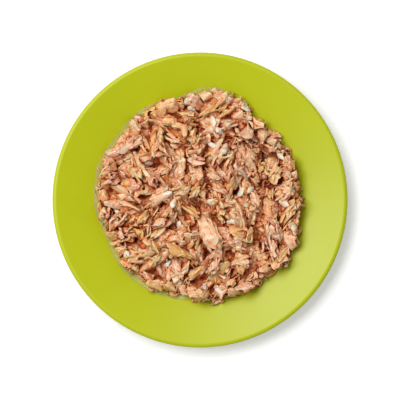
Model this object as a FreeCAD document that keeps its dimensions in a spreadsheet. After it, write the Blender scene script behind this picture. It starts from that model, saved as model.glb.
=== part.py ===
"""A portion of shredded wet cat food, heaped on a round side plate.

Frame: +Z is up, the origin is the centre of the plate's foot ring, on the table, and lengths are millimetres.
The plate is one moulded piece: a flat well that blends into a plain sloping rim with a rounded lip, on a foot ring.
The food is one solid, because its shreds cling together: a low, flat-topped mound whose outline wanders in and
out, covered by torn shreds of meat of three sizes that lie on each other, as they do when a can is turned out and
loosened with a fork. Its underside is the plate's own upper surface, so the two pieces meet face to face.
"""

import FreeCAD, Part

import math
import os
import random
import re

import Sketcher
from FreeCAD import Placement, Rotation, Vector

# name of the cell: (value, meaning)
DIMENSIONS = {
    "plate_radius": (90.0, "outside radius of the plate"),
    "well_radius": (58.0, "where the floor and the rim's slope would meet"),
    "well_blend": (30.0, "radius of the blend between floor and rim, above"),
    "well_blend_under": (6.0, "radius of the blend between floor and rim, below"),
    "rim_slope": (19.0, "slope of the rim, degrees"),
    "wall": (3.0, "thickness of the floor and the rim"),
    "edge_height": (4.0, "height of the outer edge before it is rounded"),
    "lip_radius": (2.0, "rounding of the outer edge above"),
    "lip_under_radius": (0.9, "rounding of the outer edge below"),
    "foot_radius": (51.0, "outside radius of the foot ring"),
    "foot_width": (4.5, "width of the foot ring"),
    "foot_height": (1.9, "height of the foot ring"),
    "foot_round": (0.8, "rounding of the foot ring's edges"),
    "mound_radius": (58.5, "mean radius of the mound under the shreds"),
    "mound_height": (9.0, "height of the mound above the floor"),
    "mound_power": (4.2, "power of the mound's dome: higher is flatter on top"),
    "mound_lump": (1.8, "how far the mound's top rises and dips where its waves agree"),
    "mound_sectors": (36, "facets of the mound around its axis"),
    "mound_rings": (5, "facets of the mound from its edge to its top"),
    "chunk_count": (28, "broad chunks of meat"),
    "chunk_length": (23.0, "length of a chunk"),
    "chunk_width": (11.0, "width of a chunk"),
    "chunk_depth": (5.6, "thickness of a chunk"),
    "chunk_sides": (5, "facets around a chunk"),
    "chunk_spans": (3, "facets along a chunk"),
    "chunk_reach": (0.99, "how far out chunks lie, as a share of the outline"),
    "chunk_sink": (0.46, "how deep a chunk sinks in, as a share of its thickness"),
    "flake_count": (54, "flakes, the middle size"),
    "flake_length": (16.0, "length of a flake"),
    "flake_width": (6.8, "width of a flake"),
    "flake_depth": (3.8, "thickness of a flake"),
    "flake_sides": (4, "facets around a flake"),
    "flake_spans": (3, "facets along a flake"),
    "flake_reach": (1.06, "how far out flakes lie, as a share of the outline"),
    "flake_sink": (0.38, "how deep a flake sinks in, as a share of its thickness"),
    "sliver_count": (34, "narrow slivers"),
    "sliver_length": (14.0, "length of a sliver"),
    "sliver_width": (3.8, "width of a sliver"),
    "sliver_depth": (2.6, "thickness of a sliver"),
    "sliver_sides": (4, "facets around a sliver"),
    "sliver_spans": (2, "facets along a sliver"),
    "sliver_reach": (1.06, "how far out slivers lie, as a share of the outline"),
    "sliver_sink": (0.28, "how deep a sliver sinks in, as a share of its thickness"),
    "scatter_seed": (11, "start of the random draws that scatter the shreds"),
}

# The outline of the food wanders by these waves: how many to a turn, how deep in millimetres, and where they peak.
OUTLINE_WAVES = [(1, 1.1, 61), (2, 1.2, -53), (3, 1.0, -37), (4, 0.8, -11), (5, 1.1, 14), (7, 1.0, 22)]
# Waves of the mound's top: waves to a turn, waves from centre to edge, and where they peak, in degrees.
LUMP_WAVES = [(2, 1.5, 20), (3, 2.5, 75), (5, 2.0, 130)]

GOLDEN_ANGLE = math.radians(180 * (3 - math.sqrt(5)))

# Each shred is drawn between these limits. Sizes are shares of the kind's own size, bend and curve shares of the
# length, and turns are degrees.
SIZE_LIMITS = (0.72, 1.3)
BEND_LIMITS = (-0.05, 0.14)
CURVE_LIMITS = (-0.12, 0.12)
TWIST_LIMITS = (-22, 22)
ROLL_LIMITS = (-14, 14)
END_TAPER_LIMITS = (0.3, 0.75)
END_SLANT_LIMITS = (-0.6, 0.6)
RING_LIMITS = (0.86, 1.12)
PLACE_LIMITS = (-0.12, 0.12)
WIDTH_TAPER_POWER, DEPTH_TAPER, SLANT_POWER = 2.4, 0.5, 3
# Where along its length a shred feels for what lies below it, and how much of its bulge is gone at its edge.
REST_SHARES = (-0.4, -0.2, 0.0, 0.2, 0.4)
BULGE_DROP = 0.8


# ------------------------------------------------------------------------------------------- document and sheet


def fill_sheet(doc):
    """The spreadsheet that holds the driving dimensions, one named cell to a row."""
    sheet = doc.addObject("Spreadsheet::Sheet", "Dimensions")
    for row, (name, (value, meaning)) in enumerate(DIMENSIONS.items(), start=1):
        sheet.set(f"A{row}", name)
        sheet.set(f"B{row}", str(value))
        sheet.set(f"C{row}", meaning)
        sheet.setAlias(f"B{row}", name)
    doc.recompute()
    return sheet


def cell(formula):
    """A formula over plain names, such as "well_radius + wall", as an expression that reads the sheet's cells."""
    return re.sub("[a-z_]+", lambda word: f"<<Dimensions>>.{word[0]}" if word[0] in DIMENSIONS else word[0], formula)


# --------------------------------------------------------------------------------------------------- the plate


def plate_corners(sheet):
    """Half section of the plate, turned about the Z axis, as corners.

    A corner is (formula of its radius, formula of its height, radius, height): the formulas drive the sketch, and
    the numbers only draw it before they do.
    """
    slope = math.radians(sheet.rim_slope)
    floor = sheet.foot_height + sheet.wall
    brim = floor + (sheet.plate_radius - sheet.well_radius) * math.tan(slope)
    under = sheet.well_radius + sheet.wall * math.tan(slope / 2)
    inner = sheet.foot_radius - sheet.foot_width
    floor_is = "foot_height + wall"
    brim_is = floor_is + " + (plate_radius - well_radius) * tan(rim_slope * 1deg)"
    under_is = "well_radius + wall * tan(rim_slope * 0.5deg)"
    inner_is = "foot_radius - foot_width"
    return [
        ("0", floor_is, 0, floor),
        ("well_radius", floor_is, sheet.well_radius, floor),
        ("plate_radius", brim_is, sheet.plate_radius, brim),
        ("plate_radius", brim_is + " - edge_height", sheet.plate_radius, brim - sheet.edge_height),
        (under_is, "foot_height", under, sheet.foot_height),
        ("foot_radius", "foot_height", sheet.foot_radius, sheet.foot_height),
        ("foot_radius", "0", sheet.foot_radius, 0),
        (inner_is, "0", inner, 0),
        (inner_is, "foot_height", inner, sheet.foot_height),
        ("0", "foot_height", 0, sheet.foot_height),
    ]


def origin_feature(body, role):
    return next(feature for feature in body.Origin.OriginFeatures if feature.Role == role)


def draw_plate_section(body, sheet):
    """The closed half section, with each corner placed by a horizontal and a vertical dimension."""
    sketch = body.newObject("Sketcher::SketchObject", "plate_half_section")
    sketch.AttachmentSupport = [(origin_feature(body, "XZ_Plane"), "")]
    sketch.MapMode = "FlatFace"
    corners = plate_corners(sheet)
    count = len(corners)
    for index, (_, _, radius, height) in enumerate(corners):
        next_radius, next_height = corners[(index + 1) % count][2:]
        sketch.addGeometry(Part.LineSegment(Vector(radius, height, 0), Vector(next_radius, next_height, 0)), False)
    for index in range(count):
        sketch.addConstraint(Sketcher.Constraint("Coincident", index, 2, (index + 1) % count, 1))
    vertical_axis, horizontal_axis = -2, -1
    for index, (radius_is, height_is, radius, height) in enumerate(corners):
        for formula, kind, value, axis in (
            (radius_is, "DistanceX", radius, vertical_axis),
            (height_is, "DistanceY", height, horizontal_axis),
        ):
            if formula == "0":
                sketch.addConstraint(Sketcher.Constraint("PointOnObject", index, 1, axis))
            else:
                number = sketch.addConstraint(Sketcher.Constraint(kind, -1, 1, index, 1, value))
                sketch.setExpression(f"Constraints[{number}]", cell(formula))
    return sketch


def round_edge(doc, body, name, radius_is, at_radius, at_height):
    """Rounds the circular edge of the body's tip that has this radius and lies at this height."""
    tip = body.Tip
    found = []
    for number, edge in enumerate(tip.Shape.Edges, start=1):
        if hasattr(edge.Curve, "Radius") and abs(edge.Curve.Radius - at_radius) < 1e-3:
            if abs(edge.BoundBox.ZMin - at_height) < 1e-3 and edge.BoundBox.ZLength < 1e-3:
                found.append(f"Edge{number}")
    if len(found) != 1:
        raise RuntimeError(f"{name}: {len(found)} edges at radius {at_radius} and height {at_height}")
    fillet = body.newObject("PartDesign::Fillet", name)
    fillet.Base = (tip, found)
    fillet.setExpression("Radius", cell(radius_is))
    doc.recompute()
    return fillet


def build_plate(doc, sheet):
    body = doc.addObject("PartDesign::Body", "plate")
    body.Label = "plate"
    turned = body.newObject("PartDesign::Revolution", "plate_turned")
    turned.Profile = draw_plate_section(body, sheet)
    turned.ReferenceAxis = (turned.Profile[0], ["V_Axis"])
    turned.Angle = 360
    doc.recompute()
    _, well, brim, edge_foot, under, foot_out, foot_out_low, foot_in_low, _, _ = (
        corner[2:] for corner in plate_corners(sheet)
    )
    round_edge(doc, body, "well_blend_above", "well_blend", *well)
    round_edge(doc, body, "well_blend_below", "well_blend_under", *under)
    round_edge(doc, body, "lip_above", "lip_radius", *brim)
    round_edge(doc, body, "lip_below", "lip_under_radius", *edge_foot)
    round_edge(doc, body, "foot_outer_root", "foot_round", *foot_out)
    round_edge(doc, body, "foot_outer_edge", "foot_round", *foot_out_low)
    round_edge(doc, body, "foot_inner_edge", "foot_round", *foot_in_low)
    return body


# ---------------------------------------------------------------------------------------------------- the mound


def outline_radius(sheet, angle):
    """Radius of the mound's foot in a direction: a circle with a few shallow waves on it."""
    waves = sum(depth * math.cos(count * (angle - math.radians(peak))) for count, depth, peak in OUTLINE_WAVES)
    return sheet.mound_radius + waves


def mound_height(sheet, radius, angle):
    """Height of the mound's surface above the floor at a place on the plate, 0 outside its outline."""
    share = radius / outline_radius(sheet, angle)
    if share >= 1:
        return 0.0
    dome = math.sqrt(1 - share**sheet.mound_power)
    lump = sum(
        math.cos(around * (angle - math.radians(peak)) + 2 * math.pi * outward * share)
        for around, outward, peak in LUMP_WAVES
    )
    return dome * (sheet.mound_height + sheet.mound_lump * lump / len(LUMP_WAVES) * math.sin(math.pi * share))


def polyhedron(triangles, polygons=()):
    """A closed solid from flat faces."""
    faces = [Part.Face(Part.makePolygon([*corners, corners[0]])) for corners in [*triangles, *polygons]]
    solid = Part.Solid(Part.Shell(faces))
    if solid.Volume < 0:
        solid.reverse()
    return solid


def strip(lower, upper):
    """Triangles between two rings of as many points."""
    count = len(lower)
    for index in range(count):
        after = (index + 1) % count
        yield lower[index], lower[after], upper[after]
        yield lower[index], upper[after], upper[index]


def mound_solid(sheet):
    """The body of the heap: rings of points on the dome, closed below by a flat face inside the plate's floor."""
    sectors, rings = int(sheet.mound_sectors), int(sheet.mound_rings)
    floor = sheet.foot_height + sheet.wall
    angles = [2 * math.pi * index / sectors for index in range(sectors)]

    def ring(share, height_of):
        points = []
        for angle in angles:
            radius = share * outline_radius(sheet, angle)
            points.append(Vector(radius * math.cos(angle), radius * math.sin(angle), height_of(radius, angle)))
        return points

    foot = ring(1.0, lambda radius, angle: floor - sheet.wall / 2)
    levels = [foot]
    for index in range(rings):
        share = math.cos(math.pi / 2 * index / rings)
        levels.append(ring(share, lambda radius, angle: floor + mound_height(sheet, radius, angle)))
    top = Vector(0, 0, floor + mound_height(sheet, 0, 0))
    triangles = [triangle for lower, upper in zip(levels, levels[1:]) for triangle in strip(lower, upper)]
    last = levels[-1]
    triangles += [(last[index], last[(index + 1) % sectors], top) for index in range(sectors)]
    return polyhedron(triangles, [foot[::-1]])


# --------------------------------------------------------------------------------------------------- the shreds


class HeapTop:
    """The height of the heap while it builds up, on a grid of square cells, so that each shred finds its rest."""

    cell_size = 1.5

    def __init__(self, ground):
        self.ground = ground
        self.raised = {}

    def key(self, x, y):
        return round(x / self.cell_size), round(y / self.cell_size)

    def at(self, x, y):
        found = self.raised.get(self.key(x, y))
        return self.ground(x, y) if found is None else max(found, self.ground(x, y))

    def raise_to(self, x, y, height):
        key = self.key(x, y)
        self.raised[key] = max(self.raised.get(key, -math.inf), height)


def shred_solid(draws, length, width, depth, sides, spans):
    """A torn shred of meat lying along X: rings of a flattened section, bent, curved and twisted along its length.

    At a share t of its half length, the section's width falls off as 1 - taper * |t|**WIDTH_TAPER_POWER and its
    thickness as 1 - DEPTH_TAPER * t**2. Its middle sinks by bend * t**2 and moves aside by curve * t**2, and it
    turns by twist * t. Its two ends are torn off aslant.
    """
    bend = draws.uniform(*BEND_LIMITS) * length
    curve = draws.uniform(*CURVE_LIMITS) * length
    twist = math.radians(draws.uniform(*TWIST_LIMITS))
    tapers = (draws.uniform(*END_TAPER_LIMITS), draws.uniform(*END_TAPER_LIMITS))
    slants = (draws.uniform(*END_SLANT_LIMITS), draws.uniform(*END_SLANT_LIMITS))
    rings = []
    for step in range(spans + 1):
        t = 2 * step / spans - 1
        half_width = width / 2 * (1 - tapers[t > 0] * abs(t) ** WIDTH_TAPER_POWER) * draws.uniform(*RING_LIMITS)
        half_depth = depth / 2 * (1 - DEPTH_TAPER * t * t) * draws.uniform(*RING_LIMITS)
        roll = twist * t
        ring = []
        for corner in range(sides):
            around = 2 * math.pi * (corner + 0.5) / sides
            across = half_width * math.cos(around)
            up = half_depth * math.sin(around)
            y = across * math.cos(roll) - up * math.sin(roll)
            z = across * math.sin(roll) + up * math.cos(roll)
            x = length / 2 * t + slants[t > 0] * y * abs(t) ** SLANT_POWER
            ring.append(Vector(x, y + curve * t * t, z - bend * t * t))
        rings.append(ring)
    triangles = [triangle for near, far in zip(rings, rings[1:]) for triangle in strip(near, far)]
    return polyhedron(triangles, [rings[0][::-1], rings[-1]])


def rest_on(top, x, y, heading, length):
    """Height and pitch at which a shred lies on what is below it: the line through the heights along its length."""
    along = (math.cos(heading), math.sin(heading))
    places = [(share * length, top.at(x + share * length * along[0], y + share * length * along[1]))
              for share in REST_SHARES]
    mean = sum(height for _, height in places) / len(places)
    slope = sum(place * height for place, height in places) / sum(place * place for place, _ in places)
    return mean, math.atan(slope)


def mark(top, x, y, heading, pitch, height, length, width, depth):
    """Raises the heap's top over the shred's own outline, an ellipse."""
    across_steps = max(1, round(width / 2 / top.cell_size))
    along_steps = max(1, round(length / 2 / top.cell_size))
    for i in range(-along_steps, along_steps + 1):
        for j in range(-across_steps, across_steps + 1):
            u, v = i / along_steps, j / across_steps
            if u * u + v * v > 1:
                continue
            along, across = u * length / 2, v * width / 2
            px = x + along * math.cos(heading) - across * math.sin(heading)
            py = y + along * math.sin(heading) + across * math.cos(heading)
            bulge = depth / 2 * math.sqrt(1 - BULGE_DROP * (u * u + v * v))
            top.raise_to(px, py, height + along * math.tan(pitch) + bulge)


def scatter(sheet, draws, top, kind):
    """Lays one kind of shred over the heap on a sunflower spiral, out to the kind's reach times the outline."""

    def of_kind(name):
        return getattr(sheet, f"{kind}_{name}")

    count, sides, spans = (int(of_kind(name)) for name in ("count", "sides", "spans"))
    solids = []
    for index in range(count):
        length, width, depth = (of_kind(name) * draws.uniform(*SIZE_LIMITS) for name in ("length", "width", "depth"))
        angle = (index * GOLDEN_ANGLE + draws.uniform(*PLACE_LIMITS)) % (2 * math.pi)
        radius = outline_radius(sheet, angle) * of_kind("reach") * math.sqrt((index + 0.5) / count)
        x, y = radius * math.cos(angle), radius * math.sin(angle)
        heading = draws.uniform(0, 2 * math.pi)
        mean, pitch = rest_on(top, x, y, heading, length)
        height = mean + depth * (0.5 - of_kind("sink"))
        roll = draws.uniform(*ROLL_LIMITS)
        solid = shred_solid(draws, length, width, depth, sides, spans)
        solid.Placement = Placement(
            Vector(x, y, height),
            Rotation(math.degrees(heading), -math.degrees(pitch), roll),
        )
        mark(top, x, y, heading, pitch, height, length, width, depth)
        solids.append(solid)
    return solids


def build_food(doc, sheet, plate):
    """The heap: the mound and its shreds made one solid, with everything below the plate's surface taken away."""
    floor = sheet.foot_height + sheet.wall
    slope = math.tan(math.radians(sheet.rim_slope))

    def ground(x, y):
        radius, angle = math.hypot(x, y), math.atan2(y, x)
        dish = floor + max(0.0, radius - sheet.well_radius) * slope
        return max(dish, floor + mound_height(sheet, radius, angle))

    draws = random.Random(int(sheet.scatter_seed))
    top = HeapTop(ground)
    mound = doc.addObject("Part::Feature", "mound")
    mound.Shape = mound_solid(sheet)
    shreds = []
    for kind in ("chunk", "flake", "sliver"):
        solids = scatter(sheet, draws, top, kind)
        layer = doc.addObject("Part::Feature", kind + "s")
        layer.Shape = Part.makeCompound(solids)
        shreds += solids
    heap = doc.addObject("Part::Feature", "heap_uncut")
    heap.Shape = mound.Shape.multiFuse(shreds)
    seated = doc.addObject("Part::Cut", "heap_on_plate")
    seated.Base = heap
    seated.Tool = plate
    doc.recompute()
    food = doc.addObject("Part::Feature", "shredded_food")
    food.Label = "shredded_food"
    biggest = max(seated.Shape.Solids, key=lambda solid: solid.Volume)
    food.Shape = Part.Solid(biggest.OuterShell)
    return food


# -------------------------------------------------------------------------------------------------- check, write


def check(doc, pieces):
    for item in doc.Objects:
        if "Invalid" in item.State or "Error" in item.State:
            raise RuntimeError(f"{item.Name} failed: {item.State}")
    for piece in pieces:
        shape = piece.Shape
        if shape.isNull() or not shape.isValid() or len(shape.Solids) != 1:
            raise RuntimeError(f"{piece.Label} is not one valid solid")


def main():
    doc = FreeCAD.newDocument("cat_food_on_plate")
    sheet = fill_sheet(doc)
    plate = build_plate(doc, sheet)
    food = build_food(doc, sheet, plate)
    doc.recompute()
    pieces = [plate, food]
    check(doc, pieces)
    os.makedirs("parts", exist_ok=True)
    for piece in pieces:
        piece.Shape.exportStep(os.path.join("parts", piece.Label + ".step"))
        box = piece.Shape.optimalBoundingBox(False)
        print(f"{piece.Label}: {box.XLength:.1f} x {box.YLength:.1f} x {box.ZLength:.1f} mm, "
              f"{piece.Shape.Volume / 1000:.1f} cm3, top {box.ZMax:.1f}, {len(piece.Shape.Faces)} faces")
    return doc


main()
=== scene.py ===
# %% [markdown]
# # A plate of shredded wet cat food
#
# The object is a lime-green glazed side plate with a portion of wet cat food heaped on it: torn shreds of cooked
# meat, grains of rice and a little clear juice. The plate comes ready from the CAD model and only gets its glaze.
# The CAD heap is one rough solid, and this script replaces it with what really lies there: hundreds of single
# shreds that rest on each other, with finely broken meat in the gaps between them.

# %% Load the frame
import math

import bpy
import numpy as np
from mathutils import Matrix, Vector
from mathutils.bvhtree import BVHTree


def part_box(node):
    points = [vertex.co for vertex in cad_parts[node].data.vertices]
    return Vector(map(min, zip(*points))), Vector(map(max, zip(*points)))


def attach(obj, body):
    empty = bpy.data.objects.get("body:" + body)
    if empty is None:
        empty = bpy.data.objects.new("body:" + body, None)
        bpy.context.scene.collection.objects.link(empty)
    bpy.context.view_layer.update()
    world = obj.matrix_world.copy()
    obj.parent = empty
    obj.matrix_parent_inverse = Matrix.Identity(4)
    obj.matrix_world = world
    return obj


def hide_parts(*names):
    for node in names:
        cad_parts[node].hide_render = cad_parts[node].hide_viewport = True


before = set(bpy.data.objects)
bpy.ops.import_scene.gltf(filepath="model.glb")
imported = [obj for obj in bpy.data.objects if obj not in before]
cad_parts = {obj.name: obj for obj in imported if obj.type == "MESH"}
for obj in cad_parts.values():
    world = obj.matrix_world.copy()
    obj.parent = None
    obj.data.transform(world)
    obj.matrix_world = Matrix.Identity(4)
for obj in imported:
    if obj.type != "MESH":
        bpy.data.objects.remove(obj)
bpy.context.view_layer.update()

MM = 0.001
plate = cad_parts["plate"]
cad_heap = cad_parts["shredded_food"]
plate_low, plate_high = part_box("plate")
heap_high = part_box("shredded_food")[1]
plate_radius = plate_high.x


def mm(length):
    """A length in millimetres, to print."""
    return round(float(length) / MM, 2)


print("plate", [mm(side) for side in plate_high - plate_low], "mm, heap up to", mm(heap_high.z), "mm")

# %% [markdown]
# ## The camera
#
# The plate is seen from straight above, with its rim nearly three quarters as wide as the frame. A long lens keeps
# the heap from looking taller in the middle than it is, and follows from the distance and the rim's share.

# %% Camera straight above
def put_in_scene(name, data):
    """A new object with this data, in the scene."""
    thing = bpy.data.objects.new(name, data)
    bpy.context.scene.collection.objects.link(thing)
    return thing


SENSOR = 36 * MM
CAMERA_HEIGHT = 1.1
RIM_SHARE = 0.7395
CLIP_NEAR, CLIP_FAR = 0.01, 20

rim_distance = CAMERA_HEIGHT - plate_high.z
camera_data = bpy.data.cameras.new("camera_above")
camera_data.sensor_width = SENSOR / MM
camera_data.lens = SENSOR * rim_distance / (2 * plate_radius / RIM_SHARE) / MM
camera_data.clip_start, camera_data.clip_end = CLIP_NEAR, CLIP_FAR
camera = put_in_scene("camera_above", camera_data)
camera.location = (0, 0, CAMERA_HEIGHT)
bpy.context.scene.camera = camera
print("lens", round(camera_data.lens, 1), "mm")

# %% [markdown]
# ## The light
#
# A studio lights such food with one large softbox from one side, and white walls fill in the rest. The softbox
# stands at the upper left, so the far side of the rim shows its broad sheen, and shadows fall to the lower right. The
# world is the white room. The two light a level surface so that a colour renders about as it is written.

# %% Softbox and room
SOFTBOX_AZIMUTH = math.radians(143)
SOFTBOX_ELEVATION = math.radians(62)
SOFTBOX_DISTANCE = 1.3
SOFTBOX_WIDE, SOFTBOX_TALL = 1.0, 0.6
SOFTBOX_POWER = 14.8
ROOM_BRIGHTNESS = 0.30

towards = Vector((
    math.cos(SOFTBOX_ELEVATION) * math.cos(SOFTBOX_AZIMUTH),
    math.cos(SOFTBOX_ELEVATION) * math.sin(SOFTBOX_AZIMUTH),
    math.sin(SOFTBOX_ELEVATION),
))
softbox_data = bpy.data.lights.new("softbox", "AREA")
softbox_data.shape = "RECTANGLE"
softbox_data.size, softbox_data.size_y = SOFTBOX_WIDE, SOFTBOX_TALL
softbox_data.energy = SOFTBOX_POWER
softbox = put_in_scene("softbox", softbox_data)
softbox.location = towards * SOFTBOX_DISTANCE
softbox.rotation_euler = towards.to_track_quat("Z", "Y").to_euler()

room = bpy.data.worlds.new("white_room")
room.use_nodes = True
walls = room.node_tree.nodes["Background"].inputs
walls["Color"].default_value = (1, 1, 1, 1)
walls["Strength"].default_value = ROOM_BRIGHTNESS
bpy.context.scene.world = room
bpy.context.scene.view_settings.view_transform = "Standard"

# %% [markdown]
# ## Helpers for materials
#
# A material is a small machine of nodes. These helpers keep it readable: one starts a material with its Principled
# shader, one adds a node and feeds its inputs, and the others make the kinds of node that come again and again.

# %% Node helpers
def new_finish(name, **settings):
    """A node material and its Principled shader, with settings put straight on the shader's own sockets."""
    finish = bpy.data.materials.new(name)
    finish.use_nodes = True
    shader = finish.node_tree.nodes["Principled BSDF"]
    for socket, value in settings.items():
        shader.inputs[socket.replace("_", " ")].default_value = value
    return finish, shader


def feed(finish, value, socket):
    """Links a socket to the output that feeds it, or puts a plain number or colour on it."""
    if isinstance(value, bpy.types.NodeSocket):
        finish.node_tree.links.new(value, socket)
    else:
        socket.default_value = value


def add(finish, kind, settings=None, **wires):
    """A new node of one kind. A wire is a socket name with either a number, a colour or the output that feeds it."""
    node = finish.node_tree.nodes.new("ShaderNode" + kind)
    for name, value in (settings or {}).items():
        setattr(node, name, value)
    for name, value in wires.items():
        feed(finish, value, node.inputs[name.replace("_", " ")])
    return node


def ramp(finish, factor, *stops):
    """A colour ramp through stops of (place, red, green, blue)."""
    node = add(finish, "ValToRGB", Fac=factor)
    elements = node.color_ramp.elements
    while len(elements) < len(stops):
        elements.new(0.5)
    for element, (place, *colour) in zip(elements, stops):
        element.position = place
        element.color = (*colour, 1)
    return node.outputs["Color"]


MIX_SHARE, MIX_FIRST, MIX_SECOND, MIX_RESULT = 0, 6, 7, 2  # a Mix node's sockets for colours


def blend_colours(finish, share, first, second, mode="MIX"):
    """The second colour over the first, as much of it as share says."""
    node = add(finish, "Mix", {"data_type": "RGBA", "blend_type": mode})
    for index, value in ((MIX_SHARE, share), (MIX_FIRST, first), (MIX_SECOND, second)):
        feed(finish, value, node.inputs[index])
    return node.outputs[MIX_RESULT]


def calculate(finish, operation, *values):
    """Arithmetic on numbers or outputs."""
    node = add(finish, "Math", {"operation": operation})
    for index, value in enumerate(values):
        feed(finish, value, node.inputs[index])
    return node.outputs[0]


def rescale(finish, value, low, high, start=0.0, end=1.0):
    """Low where the value is at its start, high where it is at its end, and in proportion between."""
    node = add(finish, "MapRange", Value=value, From_Min=start, From_Max=end, To_Min=low, To_Max=high)
    return node.outputs["Result"]


def noise(finish, place, scale, detail, roughness=0.5):
    """Cloudy noise from 0 to 1, scale times to the metre."""
    return add(finish, "TexNoise", Vector=place, Scale=scale, Detail=detail, Roughness=roughness).outputs["Fac"]


def wire(finish, output, shader, socket):
    """Links an output to one of the shader's own sockets."""
    finish.node_tree.links.new(output, shader.inputs[socket])


# %% [markdown]
# ## The floor
#
# The plate stands on a plain white sweep. Its diffuse part catches the plate's shadow, and a little light of its own,
# which only the camera and the reflections see, lifts the lit part of it to pure white. The softbox lights the sweep
# less the farther away it is, so that lift grows with the distance from the plate.

# %% Floor
FLOOR_SIZE = 20.0
FLOOR_COLOUR = (0.86, 0.86, 0.86, 1)
LIFT_AT_PLATE, LIFT_AFAR = 0.34, 1.0
LIFT_STARTS, LIFT_ENDS = 0.3, 1.2

white_sweep, floor_shader = new_finish("white_sweep", Base_Color=FLOOR_COLOUR, Emission_Color=(1, 1, 1, 1),
                                       Roughness=0.9, Specular_IOR_Level=0.0)
path = add(white_sweep, "LightPath")
seen = calculate(white_sweep, "MAXIMUM", path.outputs["Is Camera Ray"], path.outputs["Is Glossy Ray"])
seen = calculate(white_sweep, "MAXIMUM", seen, path.outputs["Is Transmission Ray"])
distance = add(white_sweep, "VectorMath", {"operation": "LENGTH"})
feed(white_sweep, add(white_sweep, "TexCoord").outputs["Object"], distance.inputs[0])
lift = rescale(white_sweep, distance.outputs["Value"], LIFT_AT_PLATE, LIFT_AFAR, LIFT_STARTS, LIFT_ENDS)
wire(white_sweep, calculate(white_sweep, "MULTIPLY", seen, lift), floor_shader, "Emission Strength")

floor_mesh = bpy.data.meshes.new("floor")
half_floor = FLOOR_SIZE / 2
floor_corners = [(x * half_floor, y * half_floor, 0) for x, y in ((-1, -1), (1, -1), (1, 1), (-1, 1))]
floor_mesh.from_pydata(floor_corners, [], [(0, 1, 2, 3)])
floor_mesh.materials.append(white_sweep)
floor = put_in_scene("floor", floor_mesh)

# %% [markdown]
# ## The plate's glaze
#
# The plate is glossy and strongly coloured. A glaze is never quite even: it pools a little, so its colour and its
# gloss drift slowly over a few centimetres, and its surface has the faint ripple called orange peel.

# %% Lime glaze
LIME = (0.525, 0.578, 0.0015)
LIME_DEEP = (0.505, 0.556, 0.0013)

glaze, glaze_shader = new_finish("lime_glaze", Specular_IOR_Level=0.38)
place = add(glaze, "TexCoord").outputs["Object"]
pooling = noise(glaze, place, 28, 3.0)
wire(glaze, ramp(glaze, pooling, (0.3, *LIME_DEEP), (0.7, *LIME)), glaze_shader, "Base Color")
wire(glaze, rescale(glaze, noise(glaze, place, 60, 4.0), 0.36, 0.42), glaze_shader, "Roughness")
peel = add(glaze, "Bump", Height=noise(glaze, place, 900, 1.0), Strength=0.05, Distance=0.05 * MM)
wire(glaze, peel.outputs["Normal"], glaze_shader, "Normal")
for material_slot in plate.material_slots:
    material_slot.material = glaze

# %% [markdown]
# ## What the food lies on
#
# The heap is laid on a map: a square grid that holds how high the surface is so far at each place on the plate. The
# plate's profile and the CAD heap are felt from above with rays. The CAD heap, smoothed, is the target height.

# %% Feel the plate and the CAD heap from above
CELL = 0.75 * MM
HALF_MAP = 78 * MM
CELLS = int(2 * HALF_MAP / CELL) + 1
PROBE_STEP, TARGET_PASSES = 3, 14
RAY_START = 0.5
PROFILE_POINTS, RIM_LEFT_OUT = 90, 3 * MM

across_map = np.linspace(-HALF_MAP, HALF_MAP, CELLS)
map_x, map_y = np.meshgrid(across_map, across_map, indexing="ij")


def feeler(node):
    """Rays that come down on a CAD node from above give its height, or none where it isn't."""
    tree = BVHTree.FromPolygons([v.co for v in node.data.vertices], [p.vertices for p in node.data.polygons])
    down = Vector((0, 0, -1))

    def height(x, y):
        hit = tree.ray_cast(Vector((x, y, RAY_START)), down)[0]
        return math.nan if hit is None else hit.z
    return height


plate_height = feeler(plate)
profile_radii = np.linspace(0, plate_radius - RIM_LEFT_OUT, PROFILE_POINTS)
profile_heights = np.array([plate_height(radius, 0.0) for radius in profile_radii])


def dish(x, y):
    """Height of the plate's upper surface, from its profile turned about the axis."""
    return np.interp(np.hypot(x, y), profile_radii, profile_heights)


def smooth(field, passes):
    """Each pass makes every cell the mean of itself and its neighbours along both sides."""
    for _ in range(passes):
        field = (np.roll(field, 1, 0) + np.roll(field, -1, 0) + field) / 3
        field = (np.roll(field, 1, 1) + np.roll(field, -1, 1) + field) / 3
    return field


heap_height = feeler(cad_heap)
probed = across_map[::PROBE_STEP]
coarse = np.array([[heap_height(x, y) for y in probed] for x in probed])
coarse = np.where(np.isnan(coarse), dish(*np.meshgrid(probed, probed, indexing="ij")), coarse)
rows = np.array([np.interp(across_map, probed, row) for row in coarse])
felt = np.array([np.interp(across_map, probed, column) for column in rows.T]).T
target = smooth(felt, TARGET_PASSES)
print("CAD heap's top", mm(felt.max()), "mm, smoothed", mm(target.max()), "mm")

# %% [markdown]
# ## The outline
#
# A portion turned out of a can and loosened with a fork spreads to a rough circle that wanders in and out. A circle
# with a few waves gives that, as in the CAD model. Notches and bulges are where the fork pulled meat away or pushed
# it out.

# %% Outline of the portion
OUTLINE_RADIUS = 64.9 * MM
# Waves: how many around, depth in millimetres, direction of a peak in degrees
OUTLINE_WAVES = [(1, 1.1, 61), (2, 1.2, -53), (3, 1.0, -37), (4, 0.8, -11), (5, 1.1, 14), (7, 1.0, 22)]
# Notches: direction and half width in degrees, depth in millimetres, below 0 for a bulge
NOTCHES = [
    (12, 13, 2.5), (-50, 6, 2.4), (100, 7, 2.2), (171, 7, 1.8), (-128, 10, 1.2), (42, 8, -2.2), (-30, 7, -1.2),
]


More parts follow.
